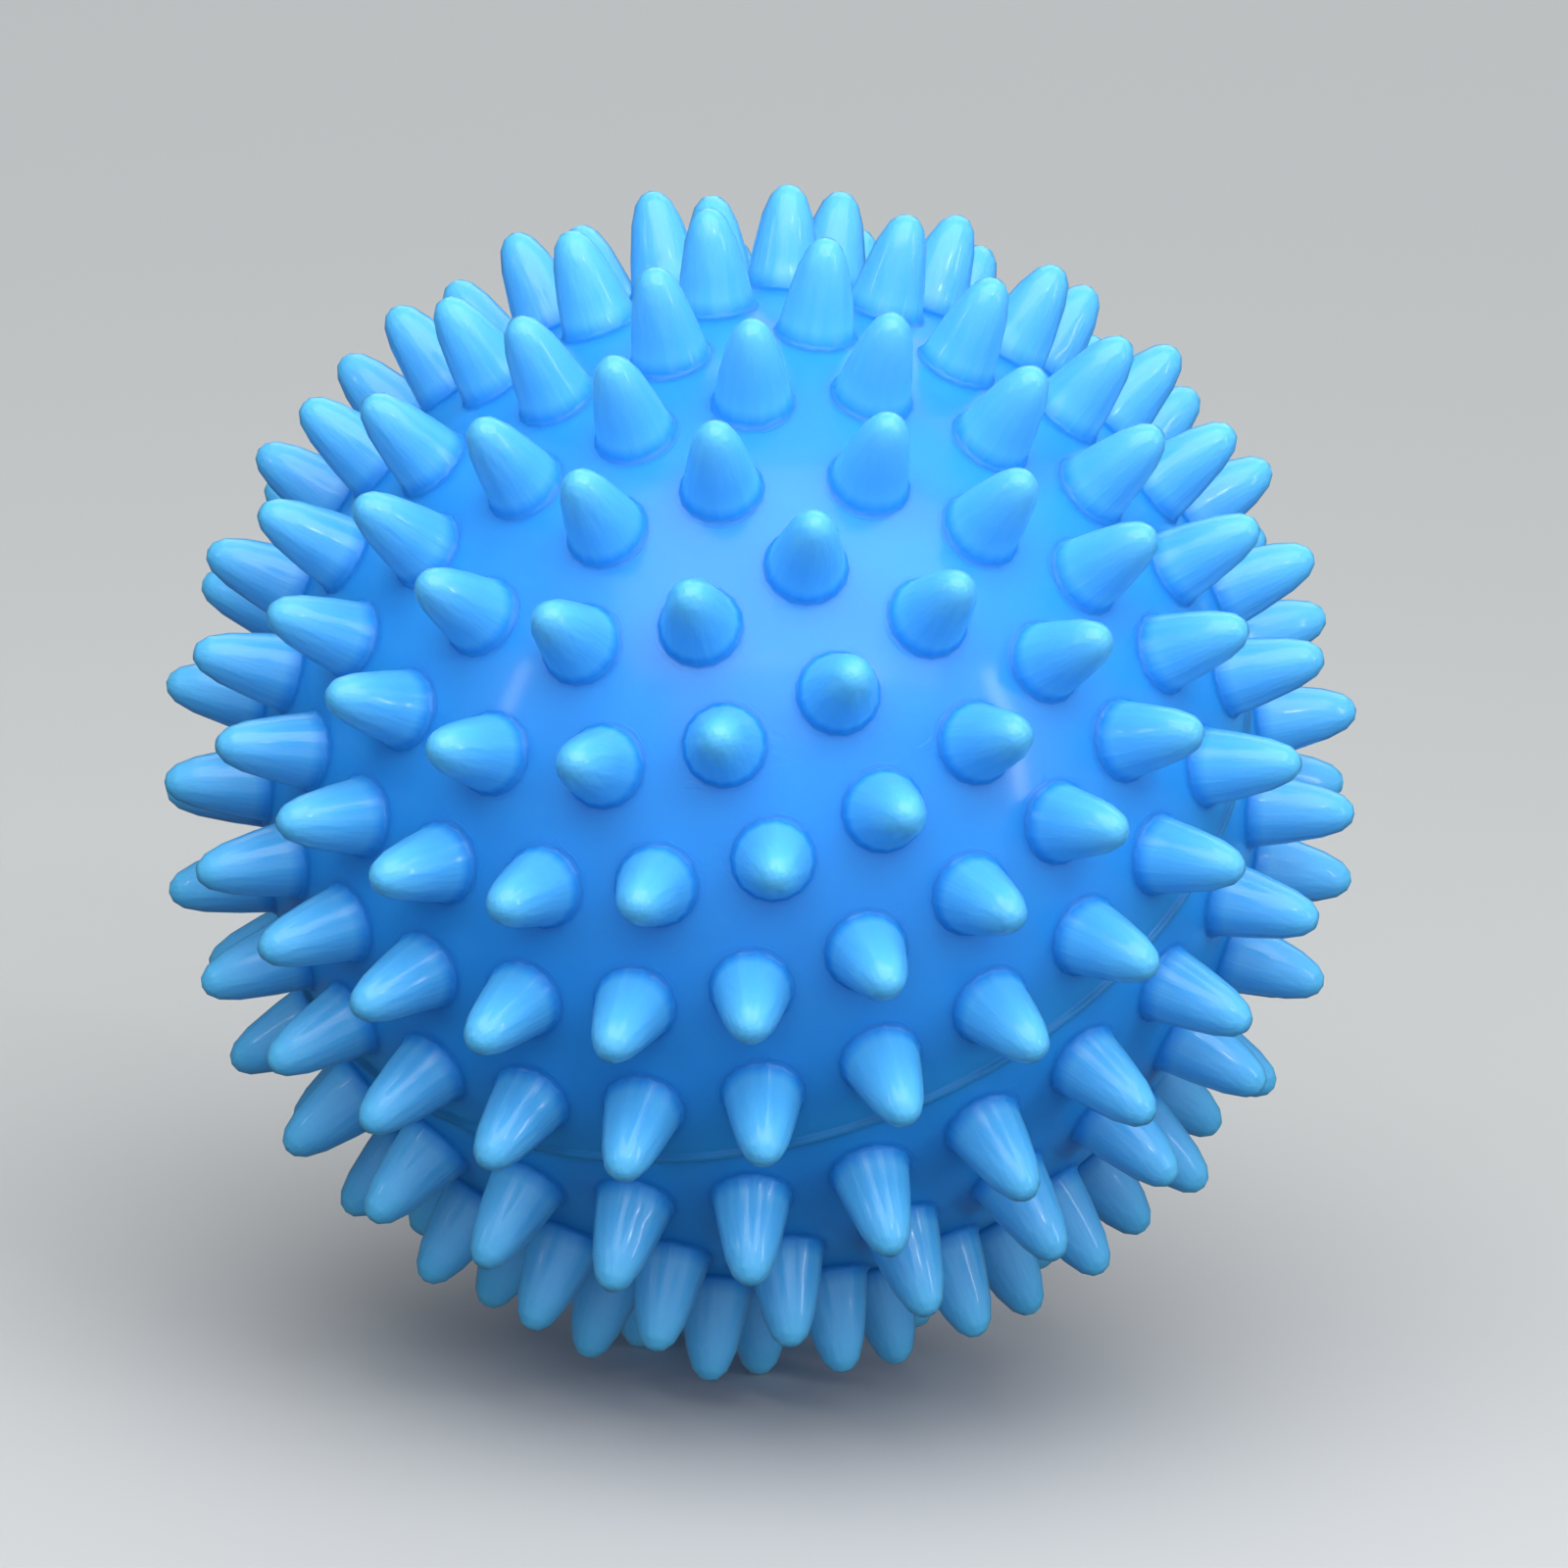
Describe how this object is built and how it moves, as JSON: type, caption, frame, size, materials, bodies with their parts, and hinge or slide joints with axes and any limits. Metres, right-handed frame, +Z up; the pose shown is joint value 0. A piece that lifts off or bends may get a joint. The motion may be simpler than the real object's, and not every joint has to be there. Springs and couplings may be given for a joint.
{
  "type": "dryer ball",
  "caption": "Hollow soft plastic ball covered in blunt round spikes, moulded in two halves that meet at a raised line, with a push-in air plug.",
  "frame": {"origin": "centre of the ball", "axes": "+Z up as the ball lies at rest on three spikes, -Y towards the side it is usually seen from; the mould's pole leans 35.5 degrees from +Z"},
  "size_m": [0.0698, 0.0697, 0.0695],
  "materials": {
    "soft_pvc": "satin, soft and slightly translucent moulded PVC",
    "valve_rubber": "satin moulded rubber",
    "plug_pvc": "smooth, a little glossier than the ball"
  },
  "bodies": {
    "ball": {"upper_half_shell": "soft_pvc", "lower_half_shell": "soft_pvc", "valve_seat": "valve_rubber"},
    "plug": {"valve_plug": "plug_pvc"}
  },
  "joints": [
    {"name": "plug_pull", "type": "slide", "parent": "ball", "child": "plug", "axis": [0.2842, 0.5064, -0.8141], "range_m": [0, 0.007]}
  ]
}
